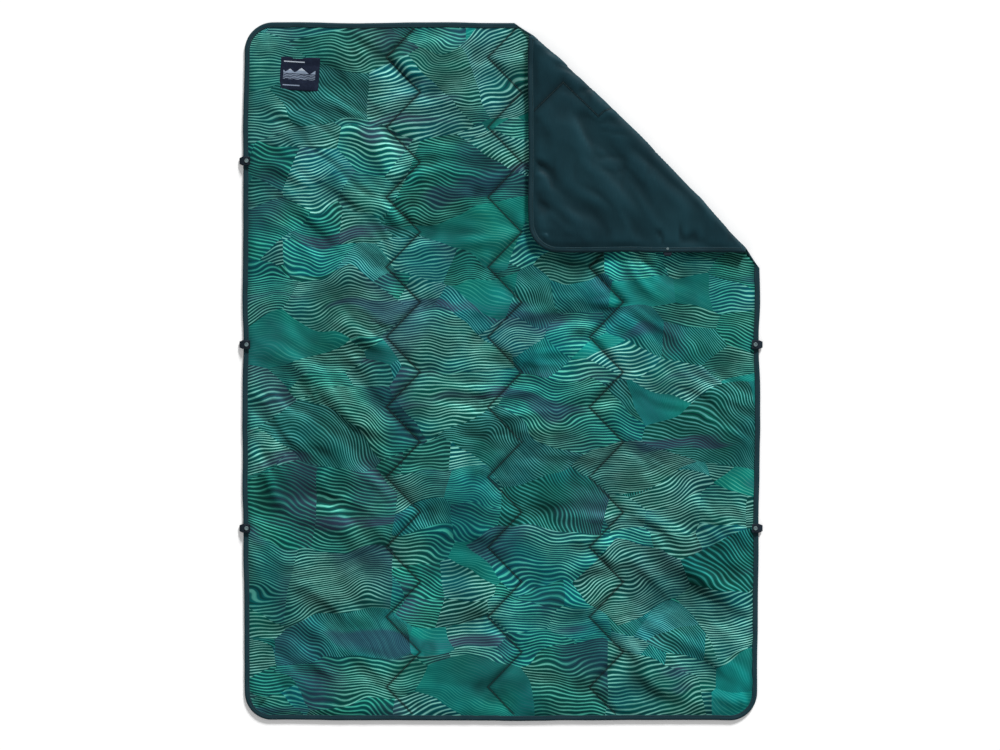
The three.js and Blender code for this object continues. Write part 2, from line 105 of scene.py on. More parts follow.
# ---- The folded shape ----
def fold(points):
    """Carries points of the flat blanket over the fold: rolled, then turned over."""
    p = np.asarray(points, float)
    s = (p[:, 0] + p[:, 1] - CREASE_SUM) / ROOT2
    t = (p[:, 0] - CREASE_X - (p[:, 1] - HALF_L)) / ROOT2
    z = p[:, 2]
    angle = np.clip(s / ALLOWANCE, 0, 1) * math.pi
    share = np.sin(np.pi * np.clip(t / CREASE_LENGTH, 0, 1)) ** 0.8
    depth = ROLL_DEPTH_END + (ROLL_DEPTH - ROLL_DEPTH_END) * share
    rolled = (depth - z) * np.sin(angle)
    past = np.maximum(s - ALLOWANCE, 0)
    out = np.where(s < 0, s, rolled - past)
    height = np.where(s < 0, z, HINGE_Z - (HINGE_Z - z) * np.cos(angle))
    # cloth that enters the roll near an end of the crease leans towards the middle
    lean = np.clip((CREASE_LENGTH / 2 - t) / (CREASE_LENGTH / 2 - FULL_LEAN), -1, 1)
    lean = lean * ALLOWANCE * np.sin(angle) * 0.5
    along = t + lean
    x = CREASE_X + (along + out) / ROOT2
    y = HALF_L + (out - along) / ROOT2
    return np.stack([x, y, height], 1)


def move(obj, function):
    """Puts each point of a mesh where function sends it."""
    co = np.zeros(len(obj.data.vertices) * 3, np.float32)
    obj.data.vertices.foreach_get("co", co)
    obj.data.vertices.foreach_set("co", function(co.reshape(-1, 3)).astype(np.float32).ravel())
    obj.data.update()


# ---- Numbers ----
def smooth(x, low, high):
    """From 0 at low to 1 at high, without a corner."""
    t = np.clip((x - low) / (high - low), 0, 1)
    return t * t * (3 - 2 * t)


def noise(x, y, size, seed, octaves=1):
    """Smooth seeded noise from -1 to 1."""
    table = np.random.RandomState(seed).rand(64, 64) * 2 - 1
    total = 0
    for octave in range(octaves):
        fx = x / size * 2**octave + 7.3 * octave + 31
        fy = y / size * 2**octave + 3.1 * octave + 17
        ix, iy = np.floor(fx).astype(int), np.floor(fy).astype(int)
        tx, ty = smooth(fx - ix, 0, 1), smooth(fy - iy, 0, 1)
        row = lambda j: table[j % 64, ix % 64] * (1 - tx) + table[j % 64, (ix + 1) % 64] * tx
        total = total + (row(iy) * (1 - ty) + row(iy + 1) * ty) * 0.5**octave
    return total


# ---- Mesh helpers ----
def mesh_object(name, points, faces, materials):
    """A smooth-shaded object whose faces all have as many corners."""
    mesh = bpy.data.meshes.new(name)
    faces = np.asarray(faces)
    mesh.vertices.add(len(points))
    mesh.vertices.foreach_set("co", np.asarray(points, np.float32).ravel())
    mesh.loops.add(faces.size)
    mesh.loops.foreach_set("vertex_index", faces.astype(np.int32).ravel())
    mesh.polygons.add(len(faces))
    n = faces.shape[1]
    mesh.polygons.foreach_set("loop_start", np.arange(len(faces), dtype=np.int32) * n)
    mesh.polygons.foreach_set("loop_total", np.full(len(faces), n, np.int32))
    mesh.polygons.foreach_set("use_smooth", np.ones(len(faces), bool))
    mesh.update(calc_edges=True)
    obj = bpy.data.objects.new(name, mesh)
    bpy.context.scene.collection.objects.link(obj)
    for material in materials:
        mesh.materials.append(material)
    return obj


def vector_attribute(obj, name, values):
    """Gives each vertex a vector that the materials read."""
    at = obj.data.attributes.new(name, "FLOAT_VECTOR", "POINT")
    at.data.foreach_set("vector", np.asarray(values, np.float32).ravel())


def sweep(rings, closed_path=False):
    """Joins rings, an array (rings, points, 3), into a tube of quads with open ends."""
    count, n = rings.shape[:2]
    steps = count if closed_path else count - 1
    i = np.arange(steps)[:, None] * n
    j = ((np.arange(steps) + 1) % count)[:, None] * n
    k = np.arange(n)[None, :]
    m = (k + 1) % n
    quads = np.stack([i + k, i + m, j + m, j + k], 2).reshape(-1, 4)
    return rings.reshape(-1, 3), quads


# ---- Node helpers ----
class Graph:
    """Builds a material's nodes. Numbers and sockets can be given alike."""

    def __init__(self, name, roughness=0.8, sheen=0.0, sheen_tint=(1, 1, 1), specular=0.3):
        self.material = bpy.data.materials.new(name)
        self.material.use_nodes = True
        self.tree = self.material.node_tree
        self.shader = self.tree.nodes["Principled BSDF"]
        self.shader.inputs["Roughness"].default_value = roughness
        self.shader.inputs["Sheen Weight"].default_value = sheen
        self.shader.inputs["Sheen Roughness"].default_value = 0.5
        self.shader.inputs["Sheen Tint"].default_value = (*sheen_tint, 1)
        self.shader.inputs["Specular IOR Level"].default_value = specular

    def add(self, kind, values=None, **settings):
        n = self.tree.nodes.new(kind)
        for key, value in settings.items():
            setattr(n, key, value)
        for key, value in (values or {}).items():
            self.plug(n.inputs[key], value)
        return n

    def plug(self, socket, value):
        if isinstance(value, bpy.types.NodeSocket):
            self.tree.links.new(value, socket)
        elif value is not None:
            socket.default_value = value

    def math(self, operation, a, b=None, c=None, clamp=False):
        """A value computed from up to three others."""
        values = {i: v for i, v in enumerate((a, b, c)) if v is not None}
        return self.add("ShaderNodeMath", values, operation=operation, use_clamp=clamp).outputs[0]

    def plus(self, a, b):
        return self.math("ADD", a, b)

    def minus(self, a, b):
        return self.math("SUBTRACT", a, b)

    def times(self, a, b):
        return self.math("MULTIPLY", a, b)

    def affine(self, a, scale, offset):
        return self.math("MULTIPLY_ADD", a, scale, offset)

    def step(self, value, low, high, out_low=0.0, out_high=1.0):
        n = self.add("ShaderNodeMapRange", {"Value": value, "From Min": low, "From Max": high,
                                            "To Min": out_low, "To Max": out_high},
                     interpolation_type="SMOOTHSTEP")
        return n.outputs["Result"]

    def mix(self, share, a, b):
        n = self.add("ShaderNodeMix", data_type="RGBA")
        self.plug(n.inputs[0], share)
        self.plug(n.inputs[6], a)
        self.plug(n.inputs[7], b)
        return n.outputs[2]

    def attribute(self, name):
        return self.add("ShaderNodeAttribute", attribute_name=name).outputs["Vector"]

    def split(self, vector):
        n = self.add("ShaderNodeSeparateXYZ", {0: vector})
        return n.outputs[0], n.outputs[1], n.outputs[2]

    def join(self, x, y, z=0.0):
        return self.add("ShaderNodeCombineXYZ", {0: x, 1: y, 2: z}).outputs[0]

    def noise(self, vector, scale, detail=0.0, roughness=0.5):
        n = self.add("ShaderNodeTexNoise", {"Vector": vector, "Scale": scale, "Detail": detail,
                                            "Roughness": roughness}, noise_dimensions="3D")
        return n.outputs["Fac"]

    def bump(self, height, strength, distance):
        n = self.add("ShaderNodeBump", {"Height": height, "Strength": strength,
                                        "Distance": distance})
        return n.outputs["Normal"]

    def shaded(self, colour, value):
        """A colour made lighter or darker by value."""
        n = self.add("ShaderNodeHueSaturation", {"Color": colour, "Value": value,
                                                 "Saturation": 1.0, "Fac": 1.0, "Hue": 0.5})
        return n.outputs[0]

    def ripple(self, value, pitch):
        """A wave from 0 to 1 along value, one for each pitch."""
        return self.affine(self.math("SINE", self.times(value, 2 * math.pi / pitch)), 0.5, 0.5)

    def done(self, colour, normal=None, roughness=None):
        self.plug(self.shader.inputs["Base Color"], colour)
        if normal is not None:
            self.plug(self.shader.inputs["Normal"], normal)
        if roughness is not None:
            self.plug(self.shader.inputs["Roughness"], roughness)
        return self.material


def srgb(r, g, b):
    """A shader colour from 0 to 255 display values."""
    lin = [c / 255 for c in (r, g, b)]
    return (*[c / 12.92 if c <= 0.04045 else ((c + 0.055) / 1.055) ** 2.4 for c in lin], 1.0)


def weave(g, x, y, pitch, depth):
    """Fine plain weave: crossing ridges."""
    height = g.math("MAXIMUM", g.ripple(x, pitch), g.ripple(y, pitch))
    return g.bump(height, 0.35, depth)


def painted_relief_shade(g, at_seam, in_hollow, on_ridge):
    """Painted shade from the relief: dark at the stitching and in hollows, with painted light on
    ridges.
    """
    seam, height, _ = g.split(g.attribute("seam"))
    valley = g.step(seam, 0.0, 5.0 * MM, at_seam, 1.0)
    return g.times(valley, g.step(height, -2.6 * MM, 2.6 * MM, in_hollow, on_ridge))


# ---- Print ----
def print_material():
    """Patches of wavy brushed lines in teals and greens, with navy at some of their borders, and
    painted shade at the stitching and in hollows.
    """
    g = Graph("printed_fabric", roughness=0.74, sheen=0.02, sheen_tint=(0.5, 0.9, 0.85),
              specular=0.08)
    flat = g.attribute("flat")
    x, y, _ = g.split(flat)
    # broad swells shared by all the patches, so that their lines run on in waves
    swell = g.minus(g.noise(g.join(x, g.times(y, 0.8), 3.7), 4.6, 1.0), 0.5)
    sway = g.minus(g.noise(g.join(x, y, 9.1), 3.0, 1.0), 0.5)
    curl = g.minus(g.noise(g.join(g.times(x, 0.8), y, 5.3), 9.5, 1.0), 0.5)
    px = g.plus(x, g.plus(g.times(sway, 0.11), g.times(curl, 0.02)))
    py = g.plus(y, g.plus(g.times(swell, 0.11), g.times(curl, 0.055)))

    def patches(across, up):
        """A colour for each patch, and places measured from its middle."""
        cells = g.add("ShaderNodeTexVoronoi", {
            "Vector": g.join(g.times(px, across), g.times(py, up)), "Scale": 1.0,
            "Randomness": 0.95}, voronoi_dimensions="2D", feature="F1")
        cx, cy, _ = g.split(cells.outputs["Position"])
        local = g.join(g.minus(px, g.times(cx, 1 / across)), g.minus(py, g.times(cy, 1 / up)))
        return cells.outputs["Color"], local

    # patches of two sizes: some of the large ones are broken up into small ones
    large, large_local = patches(3.7, 6.6)
    small, small_local = patches(7.2, 11.5)
    broken = g.math("GREATER_THAN", g.split(large)[2], 0.58)
    r1, r2, r3 = g.split(g.mix(broken, large, small))
    lx, ly, _ = g.split(g.mix(broken, large_local, small_local))
    # some patches are fans, whose lines stand up and curve
    fan = g.math("GREATER_THAN", g.math("PINGPONG", g.times(r3, 7.0), 1.0), 0.84)
    tilt = g.plus(g.affine(r1, 0.7, -0.35), g.times(fan, 0.85))
    drift_at = g.join(g.plus(x, g.times(r2, 9.0)), g.plus(y, g.times(r1, 7.0)), 0.0)
    drift = g.noise(drift_at, 6.0, 1.0)
    run = g.plus(g.times(ly, g.math("COSINE", tilt)), g.times(lx, g.math("SINE", tilt)))
    run = g.plus(run, g.times(g.minus(drift, 0.5), 0.052))
    run = g.plus(run, g.times(g.times(lx, lx), g.times(fan, 1.4)))
    plain = g.math("GREATER_THAN", r1, 0.89)  # a few patches are almost plain, with fine lines
    pitch = g.minus(g.affine(r2, 3.6 * MM, 6.6 * MM), g.times(plain, 2.2 * MM))
    pitch = g.times(pitch, g.affine(fan, -0.3, 1.0))
    phase = g.math("DIVIDE", run, pitch)
    phase = g.plus(phase, g.times(g.noise(flat, 10.0, 1.0), 0.4))
    tooth = g.math("PINGPONG", phase, 0.5)
    # brushed lines: a bright core on a dull shoulder, thinning and breaking up along its run
    brush = g.noise(g.join(g.times(px, 14.0), g.times(phase, 0.9), r1), 3.0, 2.0, 0.6)
    width = g.affine(brush, 0.26, 0.22)
    line = g.step(g.minus(tooth, width), -0.06, 0.07)
    shoulder = g.step(tooth, 0.05, 0.22)
    number = g.math("FLOOR", g.plus(phase, 0.5))
    each = g.add("ShaderNodeTexWhiteNoise", {"Vector": g.join(number, g.times(r1, 37.0))},
                 noise_dimensions="2D").outputs["Value"]
    streak = g.noise(g.join(g.times(px, 9.0), g.times(number, 3.7), r2), 1.0, 2.0, 0.6)
    vivid = g.plus(g.affine(each, 0.40, 0.30), g.affine(streak, 1.1, -0.3))
    vivid = g.times(vivid, g.step(g.noise(flat, 5.5, 2.0), 0.34, 0.56, 0.5, 1.08))
    # shade of a patch: bright at one side and dusky at the other, crossed by dusky bands
    turn_to = g.affine(r3, 9.0, r2)
    across = g.plus(g.times(ly, g.affine(g.math("COSINE", turn_to), 4.0, 1.5)),
                    g.times(lx, g.times(g.math("SINE", turn_to), 4.0)))
    across = g.plus(across, g.affine(r1, 0.7, 0.0))
    across = g.plus(across, g.times(g.minus(g.noise(flat, 7.0, 3.0), 0.5), 1.3))
    band = g.noise(g.join(g.times(px, 2.4), g.times(py, 9.0), 5.0), 1.0, 2.0)
    dusk = g.math("MAXIMUM", g.times(g.step(across, 0.45, 1.0), 0.8), g.step(band, 0.585, 0.66))
    # colours of the ground, the lines' shoulders and their cores
    tone = g.noise(g.join(x, y, g.times(r2, 20.0)), 4.5, 2.0)
    ground = g.mix(g.step(g.plus(tone, g.affine(r3, 0.5, -0.25)), 0.35, 0.65),
                   srgb(0, 58, 58), srgb(0, 62, 74))
    ground = g.mix(dusk, ground, srgb(22, 52, 68))
    violet = g.times(dusk, g.math("GREATER_THAN", r2, 0.62))
    ground = g.mix(g.times(violet, 0.6), ground, srgb(52, 56, 78))
    ink = g.mix(g.step(g.plus(tone, g.affine(r1, 0.6, -0.3)), 0.3, 0.7),
                srgb(148, 220, 208), srgb(74, 194, 170))
    ink = g.mix(g.times(fan, 0.7), ink, srgb(48, 160, 162))
    ink = g.mix(g.times(dusk, 0.75), ink, srgb(48, 92, 104))
    ground = g.mix(g.times(plain, 0.8), ground, srgb(4, 118, 110))
    strength = g.times(g.affine(plain, -0.5, 1.0), vivid)
    middle = g.mix(g.step(tone, 0.35, 0.65), srgb(0, 112, 90), srgb(0, 106, 112))
    middle = g.mix(g.times(dusk, 0.85), middle, srgb(38, 74, 98))
    colour = g.mix(g.times(shoulder, g.affine(streak, 0.9, 0.0)), ground, middle)
    colour = g.mix(g.math("MULTIPLY", line, g.times(strength, 0.94), clamp=True), colour, ink)
    grain_and_painted_shade = g.times(g.affine(g.noise(flat, 900.0, 1.0), 0.3, 0.88), g.affine(r3, 0.5, 0.78))
    broad = g.step(g.noise(g.join(x, g.times(y, 1.6), 8.0), 5.0, 2.0), 0.36, 0.62, 0.8, 1.2)
    # painted shade at the stitching and in hollows and painted light on ridges, over the fabric's
    # own grain and tone
    grain_and_painted_shade = g.times(g.times(grain_and_painted_shade, broad), painted_relief_shade(g, 0.32, 0.62, 1.24))
    normal = weave(g, x, y, 0.9 * MM, 0.12 * MM)
    rough = g.affine(g.noise(flat, 60.0, 2.0), 0.16, 0.68)
    return g.done(g.shaded(colour, grain_and_painted_shade), normal, rough)


def plain_material():
    """The plain back, with faint threads across it, and painted shade at the stitching and in
    hollows, with painted light on ridges.
    """
    g = Graph("plain_fabric", roughness=0.6, sheen=0.03, sheen_tint=(0.5, 0.8, 0.9), specular=0.1)
    flat = g.attribute("flat")
    x, y, _ = g.split(flat)
    tone = g.noise(flat, 3.0, 3.0)
    colour = g.mix(g.step(tone, 0.3, 0.7), srgb(15, 45, 54), srgb(21, 55, 64))
    thread = g.noise(g.join(g.times(x, 40.0), g.times(y, 1200.0)), 1.0, 2.0)
    colour = g.mix(g.step(thread, 0.45, 0.75, 0.0, 0.35), colour, srgb(30, 68, 77))
    normal = weave(g, x, y, 0.8 * MM, 0.1 * MM)
    rough = g.affine(g.noise(flat, 50.0, 2.0), 0.2, 0.48)
    # painted shade at the stitching and in hollows, painted light on ridges
    return g.done(g.shaded(colour, painted_relief_shade(g, 0.5, 0.62, 1.12)), normal, rough)


def tape_material(name, dark, light, pitch):
    """Ribbed tape. Its attribute holds the run along the tape and across it."""
    g = Graph(name, roughness=0.75, sheen=0.03, sheen_tint=(0.6, 0.8, 1.0), specular=0.1)
    run, across, _ = g.split(g.attribute("tape"))
    rib = g.ripple(run, pitch)
    fibre = g.noise(g.join(g.times(run, 900.0), g.times(across, 300.0)), 1.0, 2.0)
    colour = g.mix(g.step(rib, 0.1, 0.9), dark, light)
    colour = g.mix(g.step(fibre, 0.55, 0.8, 0.0, 0.5), colour, light)
    fade = g.noise(g.join(g.times(run, 9.0), across), 1.0, 3.0)
    colour = g.mix(g.step(fade, 0.45, 0.75, 0.0, 0.35), colour, srgb(42, 66, 76))
    normal = g.bump(g.plus(rib, g.times(fibre, 0.5)), 0.4, 0.2 * MM)
    return g.done(colour, normal, g.affine(fibre, 0.2, 0.66))


def thread_material():
    """Twisted sewing thread."""
    g = Graph("thread", roughness=0.5, sheen=0.1, specular=0.4)
    at = g.add("ShaderNodeTexCoord").outputs["Object"]
    twist = g.add("ShaderNodeTexWave", {"Vector": at, "Scale": 900.0, "Distortion": 2.0},
                  wave_type="BANDS", bands_direction="DIAGONAL").outputs["Fac"]
    colour = g.mix(twist, srgb(9, 38, 42), srgb(20, 58, 62))
    return g.done(colour, g.bump(twist, 0.5, 0.05 * MM), g.affine(twist, 0.15, 0.45))


def plastic_material(name, colour, light):
    """Slightly mottled moulded plastic."""
    g = Graph(name, roughness=0.35, specular=0.5)
    at = g.add("ShaderNodeTexCoord").outputs["Object"]
    speck = g.noise(at, 1500.0, 2.0)
    tone = g.mix(g.step(g.noise(at, 180.0, 2.0), 0.3, 0.7), colour, light)
    return g.done(tone, g.bump(speck, 0.2, 0.03 * MM), g.affine(speck, 0.2, 0.28))


def label_material():
    """A woven patch with a plain motif: peaks over ripples, between two thin bars."""
    g = Graph("label", roughness=0.7, sheen=0.02, specular=0.1)
    drawn_at = g.add("ShaderNodeVectorMath", {0: g.attribute("label"), 3: 0.8},
                     operation="SCALE").outputs[0]
    u, v, _ = g.split(drawn_at)  # the motif is drawn for a label 0.8 times as large
    # the skyline: uneven teeth in a zigzag
    peak = g.times(g.math("PINGPONG", g.plus(u, 0.006), 0.014), 0.75)
    tall = g.affine(g.math("PINGPONG", g.plus(u, 0.019), 0.023), 0.75, -0.004)
    peak = g.math("MAXIMUM", peak, tall)
    sky = g.plus(peak, -0.001)
    hill = g.times(g.math("LESS_THAN", v, sky), g.math("GREATER_THAN", v, 0.0))
    snow = g.math("GREATER_THAN", v, g.affine(g.ripple(u, 0.004), 0.0015, 0.006))
    wave = g.plus(v, g.times(g.math("SINE", g.times(u, 420.0)), 0.0007))
    water = g.math("GREATER_THAN", g.ripple(wave, 0.0034), 0.55)
    shore = g.times(g.math("LESS_THAN", v, -0.0015), g.math("GREATER_THAN", v, -0.0125))
    inside = g.math("LESS_THAN", g.math("ABSOLUTE", u), 0.034)
    view = g.times(g.math("MAXIMUM", hill, g.times(water, shore)), inside)

    def bar(left, down, half_length):
        thin = g.math("LESS_THAN", g.math("ABSOLUTE", g.plus(v, down)), 0.0011)
        short = g.math("LESS_THAN", g.math("ABSOLUTE", g.plus(u, left)), half_length)
        return g.times(thin, short)

    bars = g.math("MAXIMUM", bar(0.012, -0.0245, 0.022), bar(0.016, 0.0255, 0.018))
    motif = g.math("MAXIMUM", view, bars)
    pick = g.ripple(v, 0.0006)
    pale = g.mix(snow, srgb(150, 166, 188), srgb(200, 212, 224))
    colour = g.mix(g.times(motif, g.affine(pick, 0.25, 0.7)), srgb(20, 29, 48), pale)
    wear = g.noise(g.attribute("label"), 120.0, 3.0)
    colour = g.mix(g.step(wear, 0.45, 0.8, 0.0, 0.3), colour, srgb(44, 58, 82))
    twill = g.ripple(g.plus(u, v), 0.0009)
    normal = g.bump(g.plus(g.times(pick, 0.6), g.plus(twill, motif)), 0.5, 0.12 * MM)
    return g.done(colour, normal, g.affine(wear, 0.2, 0.6))


PRINT = print_material()
PLAIN = plain_material()
BINDING = tape_material("binding_tape", srgb(18, 42, 50), srgb(30, 60, 68), 1.1 * MM)
WEBBING = tape_material("loop_tape", srgb(17, 25, 34), srgb(34, 44, 54), 1.6 * MM)
THREAD = thread_material()
NYLON = plastic_material("snap_plastic", srgb(84, 104, 108), srgb(112, 132, 134))
LABEL = label_material()


# ---- The quilt ----
def turn(v):
    """How far a zigzag row stands from its middle at height v."""
    periods = (FIRST_TURN - v) / (2 * HALF_PERIOD)
    share = periods - np.floor(periods)
    return SWING * (0.5 - np.abs(2 * share - 1))


def seam_distance(u, v):
    """How far a flat place is from the nearest row of quilting."""
    level = [np.abs(u - (x + turn(v))) for x in ROWS.values()]
    return np.min(level, 0) * ACROSS_ROW


def edge_distance(u, v):
    """How far a flat place is from the blanket's edge."""
    return np.minimum(HALF_W - np.abs(u), HALF_L - np.abs(v))


def grid_lines(half, anchor, step):
    """Lines a step apart through anchor, from one inner edge of the binding to the other."""
    low, high = -half + QUILT_INSET, half - QUILT_INSET
    first, last = np.ceil((low - anchor) / step), np.floor((high - anchor) / step)
    inner = anchor + step * np.arange(first, last + 1)
    inner = inner[(inner > low + 0.4 * step) & (inner < high - 0.4 * step)]
    return np.concatenate([[low], inner, [high]])


def grid(steps):
    """Grid lines through every turn of the quilting, with so many steps between two turns."""
    left = ROWS["left"] - SWING / 2
    return (grid_lines(HALF_W, left, SWING / steps),
            grid_lines(HALF_L, FIRST_TURN, HALF_PERIOD / steps))


def drag_lines(u, v, seed):
    """Valleys that the stitching pulls into the cloth from each turn of a row: slanting on the
    outer panels, and nearly level towards the next row. From 0 to about 1 deep."""
    rng = np.random.RandomState(seed)
    total = np.zeros_like(u)
    turns = np.arange(FIRST_TURN + HALF_PERIOD, -HALF_L, -HALF_PERIOD)
    for row, x in enumerate(ROWS.values()):
        for k, y in enumerate(turns):
            left = k % 2 == 1
            outer = (row == 0 and left) or (row == len(ROWS) - 1 and not left)
            angle = math.radians((-35 if outer else 0) + rng.uniform(-13, 13)) + math.pi * left
            length = rng.uniform(0.12, 0.26) if outer else rng.uniform(0.05, 0.11)
            width = rng.uniform(0.009, 0.016)
            bow = rng.uniform(-0.6, 0.6)
            dx, dy = u - (x + turn(y)), v - y
            along = dx * math.cos(angle) + dy * math.sin(angle)
            across = dy * math.cos(angle) - dx * math.sin(angle) + bow * along**2
            spread = width * (1 + 2.2 * np.clip(along / length, 0, 1))
            reach = smooth(along, -0.006, 0.012) * (1 - smooth(along, 0.25 * length, length))
            total += rng.uniform(0.55, 1.1) * reach * np.exp(-((across / spread) ** 2))
    return total


def wrinkles(u, v, seed):
    """Soft folds in the cloth, about -1 to 1: level between the rows, slanting outside them."""
    outer = 1 - smooth(u, -0.33, -0.24) * (1 - smooth(u, 0.27, 0.36))
    bend = 0.030 * noise(u, v, 0.21, seed + 1, 2)
    slant = math.radians(-36)
    along = u * math.cos(slant) + v * math.sin(slant)
    across = v * math.cos(slant) - u * math.sin(slant) + 1.6 * bend
    level = v + 0.8 * bend
    patchy = np.clip(0.75 + 0.8 * noise(u, v, 0.23, seed + 2, 2), 0.12, 1.7)

    def folds(a, c, size, k):
        soft = noise(a / 3.4, c, size, seed + k)
        sharp = 0.75 - 1.9 * np.abs(noise(a / 4.2, c + 0.3, size * 1.5, seed + k + 20))
        return 0.75 * soft + 0.55 * sharp

    slanted = folds(along, across, 0.046, 3) + 0.45 * folds(along, across, 0.024, 4)
    flat = folds(u, level, 0.038, 5) + 0.4 * folds(u, level, 0.021, 6)
    return patchy * (1.25 * outer * slanted + 0.9 * (1 - outer) * flat) - 0.25


def edge_puckers(u, v, seed):
    """Gathers that the binding pulls into the cloth, at right angles to it."""
    d_side, d_end = HALF_W - np.abs(u), HALF_L - np.abs(v)
    side = noise(v, d_side / 5, 0.019, seed, 2) * np.exp(-d_side / 0.045)
    end = noise(u, d_end / 5, 0.019, seed + 1, 2) * np.exp(-d_end / 0.045)
    return side + end


def seam_puckers(u, v, seed):
    """Small gathers along the stitching."""
    run = u * 0.7 + v * 0.7 * np.sign(np.sin((FIRST_TURN - v) / HALF_PERIOD * math.pi))
    ds = seam_distance(u, v)
    return noise(run, ds / 4, 0.014, seed, 2) * np.exp(-ds / 0.014)


def drape(u, v, seam, edge, loft, amount, seed):
    """A fabric sewn down at its seams and edge and lofted between, with folds by amount."""
    d, ds = edge_distance(u, v), seam_distance(u, v)
    rise = 1 - np.exp(-ds / (13 * MM))
    body = seam + (loft - seam) * rise * (1 + 0.14 * noise(u, v, 0.14, seed + 7, 2))
    free = smooth(ds, 0, 22 * MM)
    folds = 7.6 * MM * wrinkles(u, v, seed) - 7 * MM * drag_lines(u, v, 5) * np.maximum(free, 0.3)
    folds += 2.2 * MM * edge_puckers(u, v, seed + 40) + 1.3 * MM * seam_puckers(u, v, seed + 50)
    inner = 1 - np.exp(-np.maximum(d - BINDING_WIDTH, 0) / (17 * MM))
    hidden = smooth(np.minimum(u - 60 * MM, v - 300 * MM), 0, 25 * MM)  # under the fold, or in it
    folds = np.where(folds > 0, folds * (1 - 0.75 * hidden), folds)
    z = edge + (body - edge + folds * amount * (0.12 + 0.88 * free)) * inner
    return np.stack([u, v, np.maximum(z, 0)], 2)


def loop_frame(name):
    """Which way a loop points, and its height before the corner was turned over."""
    x, y, _ = JOINTS[f"snap_loop_{name}"]["pos_m"]
    if name == "corner":
        return 1, HINGE_SUM - x
    return (1 if x > 0 else -1), y


def rounded(x, y):
    """Rounds the corners of a point grid: squares at the corners become quarter discs."""
    qx = np.abs(x) - (HALF_W - CORNER_RADIUS)
    qy = np.abs(y) - (HALF_L - CORNER_RADIUS)
    inside = (qx > 0) & (qy > 0)
    scale = np.where(inside, np.maximum(qx, qy) / np.maximum(np.hypot(qx, qy), 1e-9), 1)
    return (np.where(inside, np.sign(x) * (HALF_W - CORNER_RADIUS + qx * scale), x),
            np.where(inside, np.sign(y) * (HALF_L - CORNER_RADIUS + qy * scale), y))


def corner_folds(u, v):
    """The deeper folds in the back of the corner, at right angles to its free edges."""
    d_side, d_end = HALF_W - np.abs(u), HALF_L - np.abs(v)
    free = smooth(seam_distance(u, v), 0, 20 * MM)
    free = free * smooth(np.minimum(d_side, d_end), 14 * MM, 30 * MM)

    def creases(a, b, size, seed):
        """Narrow valleys between broad ridges."""
        bend = 0.4 * size * noise(a, b, 2.5 * size, seed + 5, 2)
        valley = np.exp(-((noise(a + bend, b, size, seed) / 0.16) ** 2))
        return 0.7 - 2.2 * valley * smooth(noise(a, b * 2, 2.2 * size, seed + 9), -0.1, 0.35)

    side = creases(v + 0.1 * d_side, d_side / 3, 0.036, 91) * np.exp(-d_side / 0.13)
    end = creases(u - 0.15 * d_end, d_end / 3, 0.036, 92) * np.exp(-d_end / 0.17)
    slow = noise(u + v, (u - v) / 2, 0.075, 93, 2)
    return free * MM * (2.6 * side + 3.2 * end + 1.8 * slow)


def waver(x, y):
    """How far the blanket's edges stray from straight, along x and y, but not at the loops."""
    calm = 1.0
    for name in LOOPS:
        _, loop_y = loop_frame(name)
        calm = calm * (1 - np.exp(-(((y - loop_y) / (60 * MM)) ** 2)))
    bow = 2.5 * MM * (1 - 2.4 * (y / HALF_L) ** 2)
    dx = 2.2 * MM * noise(y, np.sign(x), 0.21, 71, 2) + bow
    dx = dx * np.exp(-(HALF_W - np.abs(x)) / 0.10)
    dy = 2.4 * MM * noise(x, np.sign(y), 0.19, 72, 2) * np.exp(-(HALF_L - np.abs(y)) / 0.10)
    return np.sign(x) * dx * calm, np.sign(y) * dy


def sag(x, y):
    """How far the turned-over corner's free edges sink towards the quilt, but not at its loop."""
    past = (x + y - HINGE_SUM - ALLOWANCE / ROOT2) / ROOT2
    near = np.exp(-np.maximum(np.minimum(HALF_W - x, HALF_L - y), 0) / (45 * MM))
    _, loop_y = loop_frame("corner")
    clear = 1 - np.exp(-(((y - loop_y) / (70 * MM)) ** 2)) * smooth(x - y, 0, 110 * MM)
    return 7 * MM * near * smooth(past, 0, 60 * MM) * clear


LINES = grid(GRID_STEPS)
GRID_U, GRID_V = np.meshgrid(*LINES)
FACE = drape(GRID_U, GRID_V, SEAM_FACE, EDGE_FACE, LOFT, amount=1.0, seed=11)
# how far the back bellies out
BACK = drape(GRID_U, GRID_V, seam=2.2 * MM, edge=2.6 * MM, loft=5 * MM, amount=0.9, seed=23)
ON_CORNER = smooth(GRID_U + GRID_V, CREASE_SUM, CREASE_SUM + 60 * MM)
BACK[..., 2] += ON_CORNER * corner_folds(GRID_U, GRID_V)
BACK[..., 2] = np.maximum(BACK_DEPTH - BACK[..., 2], -BACK_BULGE * ON_CORNER)
# the roll at the fold is drawn tight, so the folds fade out there
IN_ROLL = np.exp(-((((GRID_U + GRID_V - CREASE_SUM) / ROOT2 - ALLOWANCE / 2) / (30 * MM)) ** 2))
BACK[..., 2] += 0.55 * IN_ROLL * (0.8 * MM - BACK[..., 2])
FACE[..., 2] = np.clip(FACE[..., 2], BACK[..., 2] + LEAST_CLOTH, FACE_HIGHEST)


